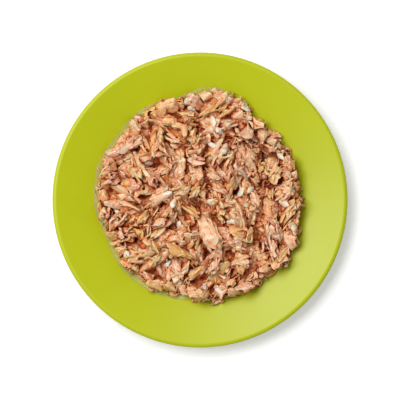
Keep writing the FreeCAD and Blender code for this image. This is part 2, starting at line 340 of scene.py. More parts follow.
def outline(angle):
    """Radius of the portion in a direction.

    It is the mean radius, plus depth * cos(count * (angle - peak)) for each wave, less depth * exp(-(away / half
    width)**2) for each notch, where away is the angle from the notch's middle."""
    waves = sum(depth * np.cos(count * (angle - math.radians(peak))) for count, depth, peak in OUTLINE_WAVES)
    for middle, half_width, depth in NOTCHES:
        turn = angle - math.radians(middle)
        away = np.degrees(np.arctan2(np.sin(turn), np.cos(turn)))
        waves = waves - depth * np.exp(-(away / half_width) ** 2)
    return OUTLINE_RADIUS + waves * MM


def share_of_outline(x, y):
    """How far out a place is: 0 at the middle, 1 on the outline."""
    return np.hypot(x, y) / outline(np.arctan2(y, x))


# %% [markdown]
# ## The map at the start
#
# The map begins as the bare plate with a low bed on it: the target, some millimetres lower. The bed has no surface
# of its own. It only holds up the first shreds, which saves laying many that nobody would see.

# %% The map at the start
BED_DEPTH, BED_OVER_PLATE = 8.0 * MM, 0.4 * MM
BED_SHARE = 0.9

bed = np.maximum(target - BED_DEPTH, dish(map_x, map_y) + BED_OVER_PLATE)
inside = share_of_outline(map_x, map_y) < BED_SHARE
level = np.where(inside, bed, dish(map_x, map_y))
print("bed of", int(inside.sum()), "cells, up to", mm(bed[inside].max()), "mm")


def map_index(values):
    """The nearest row or column of the map."""
    return np.clip(np.rint((values + HALF_MAP) / CELL).astype(int), 0, CELLS - 1)


def look_up(field, x, y):
    """What a map says at some places."""
    return field[map_index(x), map_index(y)]


# %% [markdown]
# ## Closed surfaces
#
# Everything in the heap is a closed tube: rings of points along a middle line, with a pole at each end. One function
# makes a tube's faces, one adds its poles, and one turns many equal tubes into a single object.

# %% Closed surfaces from arrays
def tube_faces(rings, sides):
    """Faces of a closed tube: quads between rings, and a fan of triangles to a pole at each end.

    Point number ring * sides + side is on the tube, and the two poles come last."""
    ring, side = np.meshgrid(np.arange(rings - 1), np.arange(sides), indexing="ij")
    after = (side + 1) % sides
    here, there = ring * sides, (ring + 1) * sides
    quads = np.stack([here + side, here + after, there + after, there + side], -1)
    side = np.arange(sides)
    after = (side + 1) % sides
    first, last = rings * sides, rings * sides + 1
    end = (rings - 1) * sides
    fans = np.concatenate([
        np.stack([np.full(sides, first), after, side], -1),
        np.stack([np.full(sides, last), end + side, end + after], -1),
    ])
    return quads.reshape(-1, 4), fans


def with_poles(points, push=0.0):
    """The points of a tube and its poles: the middles of its end rings, pushed along X."""
    poles = np.array([points[0].mean(0), points[-1].mean(0)]) + [[push, 0, 0], [-push, 0, 0]]
    return np.concatenate([points.reshape(-1, 3), poles])


def mesh_piece(name, points, quads, fans, finish, grain, traits=None):
    """One object from many equal closed tubes.

    points is (tubes, points of one tube, 3), and quads and fans index the points of one tube. grain is each point's
    place along and around the fibres, in millimetres, and traits its hue, its paleness and how hidden it is.
    """
    tubes, size = points.shape[:2]
    starts = (np.arange(tubes) * size)[:, None, None]
    four = (quads[None] + starts).reshape(-1)
    three = (fans[None] + starts).reshape(-1)
    mesh = bpy.data.meshes.new(name)
    mesh.vertices.add(tubes * size)
    mesh.vertices.foreach_set("co", points.astype(np.float32).ravel())
    mesh.loops.add(len(four) + len(three))
    corners = np.concatenate([four, three])
    mesh.loops.foreach_set("vertex_index", corners.astype(np.int32))
    mesh.polygons.add(len(four) // 4 + len(three) // 3)
    begins = np.concatenate([np.arange(0, len(four), 4), len(four) + np.arange(0, len(three), 3)])
    mesh.polygons.foreach_set("loop_start", begins.astype(np.int32))
    mesh.polygons.foreach_set("use_smooth", np.ones(len(begins), bool))
    layer = mesh.uv_layers.new(name="grain")
    layer.uv.foreach_set("vector", grain.reshape(-1, 2)[corners].astype(np.float32).ravel())
    if traits is not None:
        colours = np.concatenate([traits.reshape(-1, 3), np.ones((tubes * size, 1))], 1)
        layer = mesh.attributes.new("traits", "FLOAT_COLOR", "POINT")
        layer.data.foreach_set("color", colours.astype(np.float32).ravel())
    mesh.update(calc_edges=True)
    mesh.validate()
    mesh.materials.append(finish)
    return put_in_scene(name, mesh)


# %% [markdown]
# ## One torn shred
#
# Cooked meat tears along its muscle fibres and breaks across them. So a shred is longer than it is wide, keeps the
# fibres as ridges and creases along it, and ends in a ragged break where each bundle gave way at its own place. Its
# surface is a grid: one parameter runs along the fibres, the other around them. The same function makes a chunk
# 14 mm long and a strand 2 mm wide, because both tear in the same way.

# %% Shape of a torn shred
SEED = 42
draw = np.random.default_rng(SEED)


def spread(low, high):
    """A number by chance between two others."""
    return draw.uniform(low, high)


def broken_ends(around, bundles, ragged):
    """How far short of the full length each bundle of fibres breaks off, as a share of the half length."""
    knots = np.linspace(0, 2 * np.pi, bundles + 1)
    breaks = ragged * draw.uniform(0, 1, bundles)
    return np.interp(around, knots, np.append(breaks, breaks[0]))


KNOTS, LUMPS, SIDES_PER_BUNDLE = 8, 5, 3.4


def torn_shred(length, width, depth, rings, sides,
               blunt=(8, 26), pointed=0.0, ragged=0.4, crease=0.4, bow=0.08, curl=0.0):
    """A shred that lies along X: its points, how pale each one is, and its place in the grain, in millimetres.

    Along the fibres, at t from -1 to 1, the section keeps the share (1 - |t|**blunt)**(0.5 + pointed) of its size,
    times widths and thicknesses that change in straight stretches between random knots. Around the fibres it is an
    ellipse drawn towards a box, and each bundle of fibres bulges as |sin| does, with a crease between bundles. Each
    bundle breaks off at its own place, and lumps of |sin| in random directions roughen the whole. The middle line
    bows as bow * t**2 and kinks, and the section twists and curls. The ridges and the torn ends are paler, because
    they dry first. The upper side is paler too, which is painted light from above."""
    even = np.linspace(-1, 1, rings)
    t = (0.55 * np.sin(even * np.pi / 2) + 0.45 * even) * 0.985
    around = np.linspace(0, 2 * np.pi, sides, endpoint=False)
    power = np.where(t < 0, spread(*blunt), spread(*blunt))
    closing = (1 - np.abs(t) ** power) ** (0.5 + np.where(t < 0, spread(0, pointed), spread(0, pointed)))
    knots = np.linspace(-1, 1, KNOTS) + draw.uniform(-0.1, 0.1, KNOTS)
    taper = spread(-0.3, 0.3)

    def wander(low, high):
        """Straight stretches along t between random heights at the knots."""
        return np.interp(t, knots, draw.uniform(low, high, KNOTS))

    bundles = max(2, int(sides / SIDES_PER_BUNDLE))
    phase = spread(0, np.pi) + 0.4 * wander(-1, 1)
    ridge = np.abs(np.sin(bundles * around / 2 + phase[:, None]))
    swell = 1 - crease * (1 - ridge) * (0.6 + 0.8 * np.abs(t[:, None]))
    boxy = spread(0.45, 0.85)
    c, s = np.cos(around), np.sin(around)
    y = (width / 2 * closing * wander(0.7, 1.15) * (1 + taper * t))[:, None] * np.sign(c) * np.abs(c) ** boxy * swell
    z = (depth / 2 * closing * wander(0.75, 1.15))[:, None] * np.sign(s) * np.abs(s) ** boxy * swell
    near_low, near_high = ((1 - t) / 2)[:, None] ** 2.5, ((1 + t) / 2)[:, None] ** 2.5
    breaks = near_low * broken_ends(around, bundles, ragged) - near_high * broken_ends(around, bundles, ragged)
    x = length / 2 * (t[:, None] + 2 * breaks) + (spread(-0.5, 0.5) * near_low + spread(-0.5, 0.5) * near_high) * y
    lump = np.zeros_like(x)
    for _ in range(LUMPS):
        way = draw.normal(0, 1, 3) * np.array([0.12, 1.0, 1.0]) / (0.3 * width)
        lump += 1.3 - 2 * np.abs(np.sin(way[0] * x + way[1] * y + way[2] * z + spread(0, 2 * np.pi)))
    y, z = y * (1 + 0.06 * lump), z * (1 + 0.08 * lump)
    twist = spread(-0.4, 0.4) * t[:, None] + wander(-0.1, 0.1)[:, None]
    y, z = y * np.cos(twist) - z * np.sin(twist), y * np.sin(twist) + z * np.cos(twist)
    y = y + (wander(-0.02, 0.02) * length + spread(-bow, bow) * length * t**2)[:, None]
    z = z + (wander(-0.03, 0.03) * length - spread(-0.05, 0.08) * length * t**2)[:, None]
    z = z + spread(-curl, curl) * y**2 / width
    # Paleness: the ridges and torn ends are dry meat, paler under any lamp; the upper side is painted light from
    # above.
    painted_top_light = np.clip(s, 0, 1) * closing[:, None]
    dry_and_lit_pale = 0.5 * painted_top_light + 0.25 * ridge + 0.3 * np.abs(t[:, None]) ** 6 + 0.2 * np.abs(c) ** 8
    girth = np.pi * (width + depth) / 2
    grain = np.stack(np.broadcast_arrays(t[:, None] * length / 2, around * girth / (2 * np.pi)), -1) / MM
    return (
        with_poles(np.stack([x, y, z], -1), 0.03 * length),
        np.append(dry_and_lit_pale.ravel(), [0.2, 0.2]),
        np.concatenate([grain.reshape(-1, 2), grain[0, :1], grain[-1, :1]]),
    )


def crumb(length, width, depth, rings, sides):
    """A crumb: a ball of rings and sides, stretched, with each point drawn in or pushed out at random."""
    t = np.linspace(-0.86, 0.86, rings)[:, None]
    around = np.linspace(0, 2 * np.pi, sides, endpoint=False)
    size = draw.uniform(0.6, 1.25, (rings, sides))
    round_off = np.sqrt(1 - t**2)
    x = length / 2 * t * size
    y, z = width / 2 * round_off * np.cos(around) * size, depth / 2 * round_off * np.sin(around) * size
    points = with_poles(np.stack([x, y, z], -1), -0.06 * length)
    # A crumb's paleness grows towards its top, which is painted light from above.
    return points, np.clip(points[:, 2] / depth + 0.4, 0, 1), points[:, :2] / MM


# %% [markdown]
# ## Laying the shreds
#
# Each shred falls onto what lies there already. The map under it gives a slope that it leans with and a bend that it
# partly follows. It sinks until it bears on the higher places below, and then its own top becomes part of the map.
# Later shreds find the hollows between earlier ones, so the heap looks loose.

# %% Drop a shred on the heap
UNDER_TOP, OVER_PLATE = 0.05 * MM, 0.03 * MM
BEND_FOLLOWED = 0.7
STEEPEST, MOST_BEND = 0.8, 0.35

ceiling = heap_high.z - UNDER_TOP


def choose_place(reach, tries):
    """Of some random places inside the outline, the one where the heap is lowest against its target height."""
    angle = draw.uniform(0, 2 * np.pi, tries)
    radius = reach * outline(angle) * np.sqrt(draw.uniform(0, 1, tries))
    x, y = radius * np.cos(angle), radius * np.sin(angle)
    best = int(np.argmax(look_up(target, x, y) - look_up(level, x, y)))
    return x[best], y[best]


def lay(points, x, y, heading, lean, sink, reach):
    """Turns a shred about Z, leans and bends it with the ground below, adds its own lean, and lets it sink.

    The ground under it is fitted by height = a + b * along + c * across + d * along**2. The shred takes the slopes
    b and c and most of the bend d. Then it moves up or down until the share sink of its underside clears the map.
    Reach is how far out it may lie, as a share of the outline. A shred that goes past it is pulled in."""
    along, across = points[:, 0], points[:, 1]
    px = along * math.cos(heading) - across * math.sin(heading) + x
    py = along * math.sin(heading) + across * math.cos(heading) + y
    over = share_of_outline(px, py).max() - reach
    if over > 0:
        pull = over * OUTLINE_RADIUS / max(1e-6, math.hypot(x, y))
        px, py = px - x * pull, py - y * pull
    ground = look_up(level, px, py)
    terms = np.stack([np.ones_like(along), along, across, along**2], 1)
    (_, slope_along, slope_across, bend), *_ = np.linalg.lstsq(terms, ground, rcond=None)
    half_length = np.abs(along).max()
    bend = BEND_FOLLOWED * np.clip(bend * half_length, -MOST_BEND, MOST_BEND) / half_length
    slope_along, slope_across = np.clip([slope_along, slope_across], -STEEPEST, STEEPEST) + lean
    z = points[:, 2] + slope_along * along + slope_across * across + bend * along**2
    below = points[:, 2] <= np.median(points[:, 2])
    z = z + np.quantile((ground - z)[below], sink)
    z = z - max(0.0, z.max() - ceiling)
    z = np.maximum(z, dish(px, py) + OVER_PLATE)
    np.maximum.at(level, (map_index(px), map_index(py)), z)
    return np.stack([px, py, z], -1)


# Paler points are tanner: the dried ridges and ends, and the upper sides, where the paleness is painted light.
DRY_AND_LIT_TAN, MEAN_PALE = 0.25, 0.4


class Kind:
    """Shreds that share one grid of rings and sides, and so one piece, with what has been laid of them so far."""

    def __init__(self, shape, rings, sides):
        self.shape, self.rings, self.sides = shape, rings, sides
        self.points, self.grain, self.traits = [], [], []

    def lay_one(self, size, place, heading, hue, tilt, sink, reach=1.0, **manner):
        """Lays one shred of size (length, width, depth) in millimetres at a place, and returns its middle."""
        points, dry_and_lit_pale, grain = self.shape(*(np.array(size) * MM), self.rings, self.sides, **manner)
        points = lay(points, *place, heading, draw.normal(0, tilt, 2), sink, reach + draw.normal(0, 0.01))
        self.points.append(points)
        self.grain.append(grain)
        self.traits.append(np.stack([hue + DRY_AND_LIT_TAN * (dry_and_lit_pale - MEAN_PALE), dry_and_lit_pale, np.zeros(len(dry_and_lit_pale))], -1))
        return points.mean(0)


chunks = Kind(torn_shred, 18, 16)
pink_flakes, salmon_flakes, tan_flakes = (Kind(torn_shred, 26, 34) for _ in range(3))
pink_strands, tan_strands = Kind(torn_shred, 15, 8), Kind(torn_shred, 15, 8)
fibres, crumbs = Kind(torn_shred, 9, 5), Kind(crumb, 5, 6)

# %% [markdown]
# ## Bundles, strands and crumbs
#
# A fork pulls the meat into chunks, and the strands on a chunk's surface come half loose. So a chunk is laid first,
# and then strands side by side on it, in nearly its own direction and colour. A few bare chunks fill the inside.
# Then bundles go around the edge in tiers, because the outline shows best, and two short tiers make it higher at the
# right and lower right. More bundles go wherever the heap is still lowest.

# %% Lay a bundle
PINK, SALMON, TAN, GOLD, HERB = 0.05, 0.25, 0.48, 0.7, 1.0
STRAND_WIDTH, STRAND_DEPTH = 2.1, 1.5
LOOSE_ENDS = 2
LAST_PINK, LAST_SALMON = 0.15, 0.4
TAPERED = dict(pointed=0.7, ragged=0.5, bow=0.1)
LIMP = dict(ragged=0.3, bow=0.2)


def strands_of(hue):
    """The kind of strand that a hue belongs to."""
    return pink_strands if hue < LAST_SALMON else tan_strands


def flakes_of(hue):
    """The kind of flake that a hue belongs to."""
    return pink_flakes if hue < LAST_PINK else salmon_flakes if hue < LAST_SALMON else tan_flakes


def beside(middle, heading, along, side):
    """The place that is so far along a heading from a middle, and so far to the left of it."""
    return (middle[0] + along * math.cos(heading) - side * math.sin(heading),
            middle[1] + along * math.sin(heading) + side * math.cos(heading))


def fibre_size(shortest, longest):
    """Length, width and depth of a single fibre, in millimetres."""
    return spread(shortest, longest), spread(0.5, 1.1), spread(0.45, 0.8)


def lay_bundle(body, place, heading, hue, length, width, depth, cover, tilt=0.2, fan=0.1, sink=0.7, **manner):
    """A body of some kind, on it enough strands to cover it this many times, and loose fibres at its ends."""
    middle = body.lay_one((length, width, depth), place, heading, hue, tilt, sink, **manner)
    count = int(round(cover * width / STRAND_WIDTH))
    for number in range(count):
        side = ((number + 0.5) / count - 0.5 + spread(-0.1, 0.1)) * width * MM
        along = spread(-0.16, 0.16) * length * MM
        size = (length * spread(0.55, 1.05), STRAND_WIDTH * spread(0.6, 1.5), STRAND_DEPTH * spread(0.8, 1.3))
        strands_of(hue).lay_one(size, beside(middle, heading, along, side), heading + draw.normal(0, fan),
                                hue + draw.normal(0, 0.05), 0.05, 0.45, 1.01, **TAPERED)
    for _ in range(LOOSE_ENDS):
        end = draw.choice([-0.48, 0.48]) * length * MM
        side = spread(-0.45, 0.45) * width * MM
        fibres.lay_one(fibre_size(2.5, 7), beside(middle, heading, end, side), heading + draw.normal(0, 0.35),
                       hue + draw.normal(0, 0.08), 0.3, 0.6, 1.01, **LIMP)


def any_hue():
    """A hue of plain meat, by chance."""
    return draw.choice([PINK, SALMON, SALMON, TAN, TAN]) + spread(-0.1, 0.1)


def any_heading():
    """A direction by chance."""
    return spread(0, 2 * np.pi)


def chunk_size(scale):
    """Length, width and depth of a chunk, in millimetres."""
    return 14 * scale * spread(0.8, 1.2), 7.2 * scale * spread(0.8, 1.15), 4.4 * spread(0.8, 1.3)


def flake_size(scale):
    """Length, width and depth of a large flake, in millimetres: it gets thicker only as the root of its scale."""
    return 21 * scale * spread(0.75, 1.2), 8.0 * scale * spread(0.7, 1.2), 4.8 * scale**0.5 * spread(0.8, 1.2)


def flow(x, y):
    """The way most shreds near a place point: two slow waves across the heap, and a scatter about them."""
    return 1.2 * math.sin(x / (22 * MM) + 1) + 1.4 * math.sin(y / (19 * MM) + 2) + draw.normal(0, 0.7)


def shortfall():
    """How far the heap is still below its target, on average, in millimetres."""
    return mm((target - level)[inside].mean())


# %% Bundles all over
FILLERS, EDGE_BUNDLES, BUNDLES = 60, 46, 60
# Tiers: nearest and farthest share of the outline, first and last of the edge bundles' places
TIERS = [(0.90, 0.955, 0, 46), (0.87, 0.93, 0, 46), (0.87, 0.93, -12, 4), (0.86, 0.92, -12, 4)]
ROUGH = dict(pointed=0.15, ragged=0.5)

for _ in range(FILLERS):
    lay_bundle(chunks, choose_place(0.85, 6), any_heading(), any_hue(), *chunk_size(0.8), 0.0)
for tier_low, tier_high, first, last in TIERS:
    for number in range(first, last):
        angle = 2 * np.pi * (number + spread(-0.3, 0.3)) / EDGE_BUNDLES
        radius = outline(angle) * spread(tier_low, tier_high)
        place = (radius * math.cos(angle), radius * math.sin(angle))
        lay_bundle(chunks, place, angle + np.pi / 2 + draw.normal(0, 0.6), any_hue(), *chunk_size(spread(0.8, 1.1)),
                   spread(0.0, 0.5), **ROUGH)
for _ in range(BUNDLES):
    lay_bundle(chunks, choose_place(0.93, 8), any_heading(), any_hue(), *chunk_size(spread(0.9, 1.4)),
               draw.choice([0.0, 0.4, 0.8]), fan=spread(0.05, 0.25))
print("bundles laid, shortfall", shortfall(), "mm")

# %% [markdown]
# ## Large flakes
#
# Flakes are the wide pieces that come off whole. Neighbours lie much the same way, because the fork drew them along,
# so their directions follow a slow flow across the heap.

# %% Large flakes all over
LARGE_FLAKES, SMALL_FLAKES = 92, 22
FLAKE_REACH = 0.9
TORN = dict(blunt=(7, 22), pointed=0.3, ragged=0.8, crease=0.22, curl=0.3)


def lay_flake(scale):
    """A flake in a low place, along the flow there, with strands over none, half or all of it."""
    hue = any_hue()
    place = choose_place(FLAKE_REACH, 5)
    lay_bundle(flakes_of(hue), place, flow(*place), hue, *flake_size(scale), draw.choice([0.0, 0.5, 1.0]),
               0.2, 0.1, **TORN)


for _ in range(LARGE_FLAKES):
    lay_flake(spread(0.75, 1.5))
print("large flakes laid, shortfall", shortfall(), "mm")

# %% [markdown]
# ## The mash between the shreds
#
# Meat that came apart altogether fills the spaces: small flakes pressed flat on what lies below. It is one closed
# surface over the heap so far, a little below its highest places, so chunks and large flakes stand out of it. The
# surface is divided into patches, each the upper side of one small flake with its own direction, slope, colour and
# fibres, with a crease between neighbours. Small flakes then go into the hollows.

# %% Mash
PATCHES, PATCH_STRETCH = 300, 2.6
PATCH_LIFT, PATCH_TILT = 2.0 * MM, 0.25
MASH_BELOW, MASH_ABOVE, MASH_SECTORS = 6, 110, 480
MASH_SHARE, MASH_DROP, MASH_PASSES = 0.95, 0.8 * MM, 2
RIDGE_SPACING, RIDGE_HEIGHT = 1.3 * MM, 0.3 * MM
CREASE_WIDTH, CREASE_DEPTH = 1.1 * MM, 2.2 * MM
MOST_SLOPE, MASH_OVER_PLATE = 1.5 * MM, 0.02 * MM
BATCHES = 60

patch_angle = draw.uniform(0, 2 * np.pi, PATCHES)
patch_radius = outline(patch_angle) * np.sqrt(draw.uniform(0, 1, PATCHES))
patch_x, patch_y = patch_radius * np.cos(patch_angle), patch_radius * np.sin(patch_angle)
patch_heading = np.array([flow(*place) for place in zip(patch_x, patch_y)])
patch_hue = draw.choice([PINK, SALMON, TAN, TAN], PATCHES) + draw.uniform(-0.12, 0.12, PATCHES)
patch_lift = draw.uniform(0, PATCH_LIFT, PATCHES)
patch_tilt = draw.normal(0, PATCH_TILT, (2, PATCHES))


def patch_relief(x, y):
    """Height, hue, paleness and grain of the patch each place belongs to.

    A place belongs to the patch with the shortest way to it, when ways along the fibres count PATCH_STRETCH times
    less. The patch's height is its lift and slopes, plus RIDGE_HEIGHT * |sin| across the fibres, less a crease where
    the way to the next patch is hardly longer."""
    wavy_x = x + 0.5 * MM * np.sin(y / (0.7 * MM)) + 0.9 * MM * np.sin(y / (2.1 * MM))
    wavy_y = y + 0.5 * MM * np.sin(x / (0.8 * MM)) + 0.9 * MM * np.sin(x / (1.9 * MM))
    dx, dy = wavy_x[:, None] - patch_x, wavy_y[:, None] - patch_y
    along = dx * np.cos(patch_heading) + dy * np.sin(patch_heading)
    across = dy * np.cos(patch_heading) - dx * np.sin(patch_heading)
    way = np.hypot(along / PATCH_STRETCH, across)
    own, other = np.argpartition(way, 1, axis=1)[:, :2].T
    pick = np.arange(len(x))
    along, across = along[pick, own], across[pick, own]
    border = np.clip((way[pick, other] - way[pick, own]) / CREASE_WIDTH, 0, 1)
    ridge = np.abs(np.sin(np.pi * across / RIDGE_SPACING + 0.8 * np.sin(along / (2.5 * MM)) + own))
    slopes = np.clip(patch_tilt[0, own] * along + patch_tilt[1, own] * across, -MOST_SLOPE, MOST_SLOPE)
    height = patch_lift[own] + slopes + RIDGE_HEIGHT * ridge * border - CREASE_DEPTH * (1 - border) ** 2
    # Paleness: higher on the fibres' ridges, as dried meat, and lower towards the creases between patches, which is
    # painted shade.
    return height, patch_hue[own], 0.2 + 0.35 * ridge + 0.3 * border, np.stack([along, across], -1) / MM


def look_up_smoothly(field, x, y):
    """The map's height between its cells: the mean of the four nearest, weighted by nearness."""
    u, v = (x + HALF_MAP) / CELL, (y + HALF_MAP) / CELL
    i, j = np.clip(u.astype(int), 0, CELLS - 2), np.clip(v.astype(int), 0, CELLS - 2)
    u, v = u - i, v - j
    return ((field[i, j] * (1 - u) + field[i + 1, j] * u) * (1 - v)
            + (field[i, j + 1] * (1 - u) + field[i + 1, j + 1] * u) * v)


def mash_tube():
    """Rings outwards along the plate, then inwards over the heap, with a shoulder sqrt(1 - share**12) at the edge."""
    angle = np.linspace(0, 2 * np.pi, MASH_SECTORS, endpoint=False)
    below = np.linspace(0.02, 1, MASH_BELOW)[:, None]
    above = np.linspace(1, 0.005, MASH_ABOVE + 1)[1:, None]
    shares = np.concatenate([below, above])
    radius = shares * outline(angle) * MASH_SHARE
    x, y = (radius * np.cos(angle)).ravel(), (radius * np.sin(angle)).ravel()
    parts = [patch_relief(*places) for places in zip(np.array_split(x, BATCHES), np.array_split(y, BATCHES))]
    relief, hue, dry_and_lit_pale, grain = (np.concatenate(part) for part in zip(*parts))
    low = dish(x, y) + MASH_OVER_PLATE
    over = np.repeat(np.arange(len(shares)) >= MASH_BELOW, MASH_SECTORS)
    shoulder = np.sqrt(np.maximum(0, 1 - np.repeat(shares[:, 0], MASH_SECTORS) ** 12))
    top = look_up_smoothly(smooth(level, MASH_PASSES), x, y) - MASH_DROP + relief - PATCH_LIFT / 2
    z = np.where(over, np.clip(low + (top - low) * shoulder, low, ceiling), low)
    points = np.stack([x, y, z], -1)
    ends = [0, -1]
    poles = [(0, 0, low[0]), (0, 0, z[-MASH_SECTORS:].mean())]
    traits = np.stack([hue, dry_and_lit_pale, np.zeros_like(hue)], -1)
    return (np.concatenate([points, poles]), np.concatenate([grain, grain[ends]]),
            np.concatenate([traits, traits[ends]]))


mash_points, mash_grain, mash_traits = mash_tube()
on_top = mash_points[MASH_BELOW * MASH_SECTORS:]
np.maximum.at(level, (map_index(on_top[:, 0]), map_index(on_top[:, 1])), on_top[:, 2])
print("mash of", PATCHES, "patches, shortfall", shortfall(), "mm")

# %% Small flakes in the hollows
for _ in range(SMALL_FLAKES):
    lay_flake(spread(0.5, 0.75))
print("small flakes laid, shortfall", shortfall(), "mm")

# %% [markdown]
# ## What lies on top
#
# A few large flakes catch the eye first, so they have places of their own on top of the heap: pink, tan and golden
# ones. Loose strands, fibres and crumbs come last and settle in the hollows.

# %% Large flakes that catch the eye
TOP_FLAKE_DEPTH = 4.6
# x and y in millimetres, heading in degrees, length and width in millimetres, hue, cover
TOP_FLAKES = [
    (-43, 33, 35, 20, 7, PINK, 0.6), (-4, 24, -12, 16, 8, PINK, 0.3), (7, 16, -22, 15, 6.5, PINK, 0.0),
    (27, 42, -65, 17, 11, PINK, 1.0), (54, 7, -10, 13, 10, SALMON, 0.3), (44, 19, 60, 17, 12, TAN, 0.5),
    (46, 33, -25, 17, 7, SALMON, 0.6), (45, -31, -72, 20, 6, PINK, 0.5), (-53, 13, 25, 16, 7, PINK, 0.4),
    (-3, 38, 70, 12, 9, TAN, 0.6), (-58, -8, 75, 14, 7, SALMON, 0.3), (8, -42, 65, 18, 7, PINK, 0.5),
    (25, -38, 30, 15, 7, SALMON, 0.5), (-25, -14, 20, 18, 6, PINK, 0.5), (-9, 6, 21, 19, 5.5, TAN, 0.3),
    (-35, -21, -30, 16, 6.5, GOLD, 0.3), (-22, 31, -57, 21, 3.4, SALMON, 0.0), (-6, -6, -33, 19, 4.5, GOLD, 0.0),
    (-13, -32, -35, 24, 6, GOLD, 0.0),
]
for x, y, heading, length, width, hue, cover in TOP_FLAKES:
    lay_bundle(flakes_of(hue), (x * MM, y * MM), math.radians(heading), hue, length, width, TOP_FLAKE_DEPTH, cover,
               0.08, 0.08, 0.92, **TORN)
print(len(TOP_FLAKES), "flakes placed on top, shortfall", shortfall(), "mm")

# %% Loose strands and crumbs
LOOSE_STRANDS, LOOSE_FIBRES, CRUMBS = 30, 60, 140
CRUMB_SHAPE = np.array([1.5, 1.0, 0.8])

for _ in range(LOOSE_STRANDS):
    hue = draw.choice([PINK, SALMON, TAN, GOLD]) + spread(-0.1, 0.1)
    size = (9 * spread(0.5, 1.6), 1.9 * spread(0.6, 1.5), 1.3 * spread(0.7, 1.3))
    place = choose_place(0.96, 6)
    strands_of(hue).lay_one(size, place, flow(*place), hue, 0.2, 0.6, 1.0, pointed=1.0, ragged=0.45, bow=0.15)
for _ in range(LOOSE_FIBRES):
    fibres.lay_one(fibre_size(3, 9), choose_place(0.98, 2), any_heading(), any_hue(), 0.15, 0.55, 1.02, **LIMP)
for _ in range(CRUMBS):
    size = 1.2 * spread(0.5, 1.6) * CRUMB_SHAPE
    hue = draw.choice([PINK, SALMON, TAN, TAN, HERB]) + spread(-0.1, 0.1)
    crumbs.lay_one(size, choose_place(0.94, 2), any_heading(), hue, 0.3, 0.3, 0.97)
print("all laid, shortfall", shortfall(), "mm")

# %% [markdown]
# ## The rice
#
# Boiled rice grains lie among the shreds, swollen, blunt and cloudy white. A grain is a long ball whose middle is
# fuller than an ellipse, with a shallow groove along one side and an uneven skin. Crumbs of meat half bury some.

# %% Rice grains
def rice_grain(length, width, depth, rings, sides):
    """A grain: at t from -1 to 1 its section has the radius (1 - |t|**2.6)**0.6, with a bow and a shallow groove."""
    t = 0.99 * np.sin(np.linspace(-1, 1, rings) * np.pi / 2)[:, None]
    around = np.linspace(0, 2 * np.pi, sides, endpoint=False)
    radius = (1 - np.abs(t) ** 2.6) ** 0.6 * (1 - 0.12 * np.maximum(0, np.cos(around - spread(0, 6))) ** 4)
    radius = radius * (1 + 0.2 * np.sin(spread(2, 5) * t + spread(0, 6) + 1.5 * np.cos(around + spread(0, 6))))
    radius = radius * draw.uniform(0.78, 1.12, radius.shape)
    bow = spread(-0.06, 0.06) * length * t**2
    points = with_poles(np.stack(np.broadcast_arrays(
        length / 2 * t, width / 2 * radius * np.cos(around) + bow, depth / 2 * radius * np.sin(around)), -1))
    return points, np.full(len(points), 0.5), points[:, :2] / MM


rice = Kind(rice_grain, 11, 10)
GRAIN_SIZE, SMALL_GRAIN = (6.2, 3.9, 3.0), (5.4, 3.4, 2.6)
CHANCE_GRAINS, RICE_CRUMBS, CRUMB_SCATTER = 8, 120, 2.5
# x and y in millimetres, heading in degrees
TOP_GRAINS = [
    (18, 61, 20), (28, 57, 130), (8, 48, 100), (12, 42, 140), (15, 30, 45), (25, 5, 60), (-20, 4, 25), (-16, -2, 70),
    (7, -1, 160), (-51, -6, 100), (51, -2, 150), (23, -23, 50), (-45, -33, 110), (11, -55, 130), (2, -54, 60),
    (-13, -15, 80), (-7, 60, 10), (-19, 59, 170), (-20, -39, 45), (57, -17, 100),
]
for x, y, heading in TOP_GRAINS:
    length, width, depth = GRAIN_SIZE
    size = (length * spread(0.8, 1.15), width * spread(0.85, 1.1), depth)
    rice.lay_one(size, (x * MM, y * MM), math.radians(heading), 0.5, 0.15, 0.4)
for _ in range(CHANCE_GRAINS):
    rice.lay_one(SMALL_GRAIN, choose_place(0.94, 5), any_heading(), 0.5, 0.2, 0.4)
for _ in range(RICE_CRUMBS):
    x, y, _ = TOP_GRAINS[draw.integers(len(TOP_GRAINS))]
    size = spread(0.5, 1.3) * CRUMB_SHAPE
    place = ((x + draw.normal(0, CRUMB_SCATTER)) * MM, (y + draw.normal(0, CRUMB_SCATTER)) * MM)
    crumbs.lay_one(size, place, any_heading(), any_hue(), 0.3, 0.45, 0.985)
print(len(rice.points), "grains of rice")

# %% [markdown]
# ## The juice
#
# A little clear juice has run out from under the heap and stands around part of its edge as a film 0.4 mm thick. It
# holds on to the glaze, so it ends in a rounded lip, which catches the light; its thin bright line is helped by a
# painted highlight in the finish. The film is one closed tube: each ring is its cross-section, from under the shreds
# out to the lip, and the rings follow the outline.

# %% Film of juice
FILM_FROM, FILM_TO = math.radians(78), math.radians(262)
FILM_RINGS, FILM_SIDES = 360, 20
FILM_INSIDE, FILM_THICK, FILM_WIDE = 5 * MM, 0.38 * MM, 0.4 * MM
FILM_BOTTOM, FILM_FADES = 0.07 * MM, 0.06


